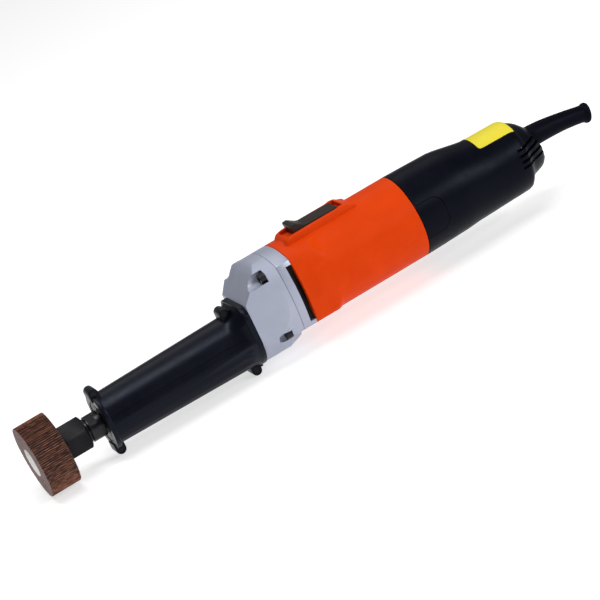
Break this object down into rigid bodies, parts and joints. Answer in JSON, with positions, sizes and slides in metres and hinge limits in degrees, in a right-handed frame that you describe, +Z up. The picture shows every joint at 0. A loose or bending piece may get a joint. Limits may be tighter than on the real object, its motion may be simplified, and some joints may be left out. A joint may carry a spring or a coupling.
{
  "type": "straight die grinder",
  "caption": "Corded straight grinder with an offset geared spindle, collet nut, flap wheel, slip-on plastic nose grip and slide switch.",
  "frame": {"origin": "under the middle of the whole tool, level with the lowest point of the flap wheel", "axes": "+X towards the cord end, along the motor's axis; +Z up, the side of the slide switch; the flap wheel is at -X"},
  "size_m": [0.5328, 0.071, 0.0942],
  "materials": {
    "flap_cloth": "abrasive cloth, dark brown",
    "flap_resin": "cured resin, grey",
    "label_paper": "plain white paper disc",
    "bright_steel": "ground",
    "black_steel": "blackened steel",
    "spindle_steel": "turned, dark",
    "bearing_steel": "polished",
    "gear_steel": "hobbed and oiled",
    "cast_aluminium": "die cast, satin",
    "dark_aluminium": "black anodised",
    "screw_steel": "zinc plated",
    "grip_plastic": "moulded, fine texture",
    "orange_plastic": "moulded nylon, satin",
    "switch_plastic": "moulded, satin",
    "black_plastic": "moulded, textured",
    "fan_plastic": "moulded",
    "lamination_steel": "stacked sheet",
    "copper_wire": "enamelled copper",
    "copper_bar": "turned copper",
    "brass": "pressed",
    "carbon": "carbon",
    "yellow_foil": "plain printed foil",
    "sleeve_rubber": "soft moulded"
  },
  "bodies": {
    "housing": {"spindle_front_bearing_outer_ring": "bearing_steel", "spindle_rear_bearing_outer_ring": "bearing_steel", "nose_tube": "dark_aluminium", "nose_tube_screws": "screw_steel", "spindle_bearing_cap": "black_steel", "grip_shell_right": "grip_plastic", "grip_shell_left": "grip_plastic", "grip_screws": "black_steel", "grip_nuts": "black_steel", "gear_case": "cast_aluminium", "bearing_plate": "cast_aluminium", "gear_case_screws": "screw_steel", "motor_housing": "orange_plastic", "switch_body": "switch_plastic", "armature_front_bearing_outer_ring": "bearing_steel", "armature_rear_bearing_outer_ring": "bearing_steel", "stator_core": "lamination_steel", "field_coils": "copper_wire", "fan_baffle": "fan_plastic", "brush_holders": "brass", "carbon_brushes": "carbon", "brush_springs": "bearing_steel", "rear_housing": "black_plastic", "bearing_bracket": "fan_plastic", "rear_housing_screws": "screw_steel", "brush_cover_right": "black_plastic", "brush_cover_left": "black_plastic", "rating_plate": "yellow_foil", "cord_sleeve": "sleeve_rubber", "cord_clamp": "fan_plastic", "cord_clamp_screws": "screw_steel", "terminal_block": "fan_plastic"},
    "spindle_group": {"wheel_flaps": "flap_cloth", "wheel_hub": "flap_resin", "wheel_label": "label_paper", "wheel_shank": "bright_steel", "collet_nut": "black_steel", "collet": "bright_steel", "spindle": "spindle_steel", "spindle_front_bearing_inner_ring": "bearing_steel", "spindle_front_bearing_balls": "bearing_steel", "spindle_rear_bearing_inner_ring": "bearing_steel", "spindle_rear_bearing_balls": "bearing_steel", "spindle_gear": "gear_steel", "gear_key": "gear_steel", "gear_circlip": "gear_steel"},
    "armature_group": {"armature_shaft": "gear_steel", "armature_core": "lamination_steel", "armature_windings": "copper_wire", "commutator": "copper_bar", "cooling_fan": "fan_plastic", "pinion": "gear_steel", "armature_front_bearing_inner_ring": "bearing_steel", "armature_front_bearing_balls": "bearing_steel", "armature_rear_bearing_inner_ring": "bearing_steel", "armature_rear_bearing_balls": "bearing_steel"},
    "switch_group": {"switch_knob": "switch_plastic", "switch_rod": "switch_plastic"}
  },
  "joints": [
    {"name": "armature_spin", "type": "hinge", "parent": "housing", "child": "armature_group", "pos_m": [0.037, 0, 0.0485], "axis": [1, 0, 0], "continuous": true},
    {"name": "spindle_spin", "type": "hinge", "parent": "housing", "child": "spindle_group", "pos_m": [-0.123, 0, 0.03], "axis": [1, 0, 0], "continuous": true},
    {"name": "switch_slide", "type": "slide", "parent": "housing", "child": "switch_group", "axis": [-1, 0, 0], "range_m": [0, 0.006]}
  ],
  "couplings": [
    {"joint": "spindle_spin", "follows": "armature_spin", "ratio": -0.54167}
  ]
}
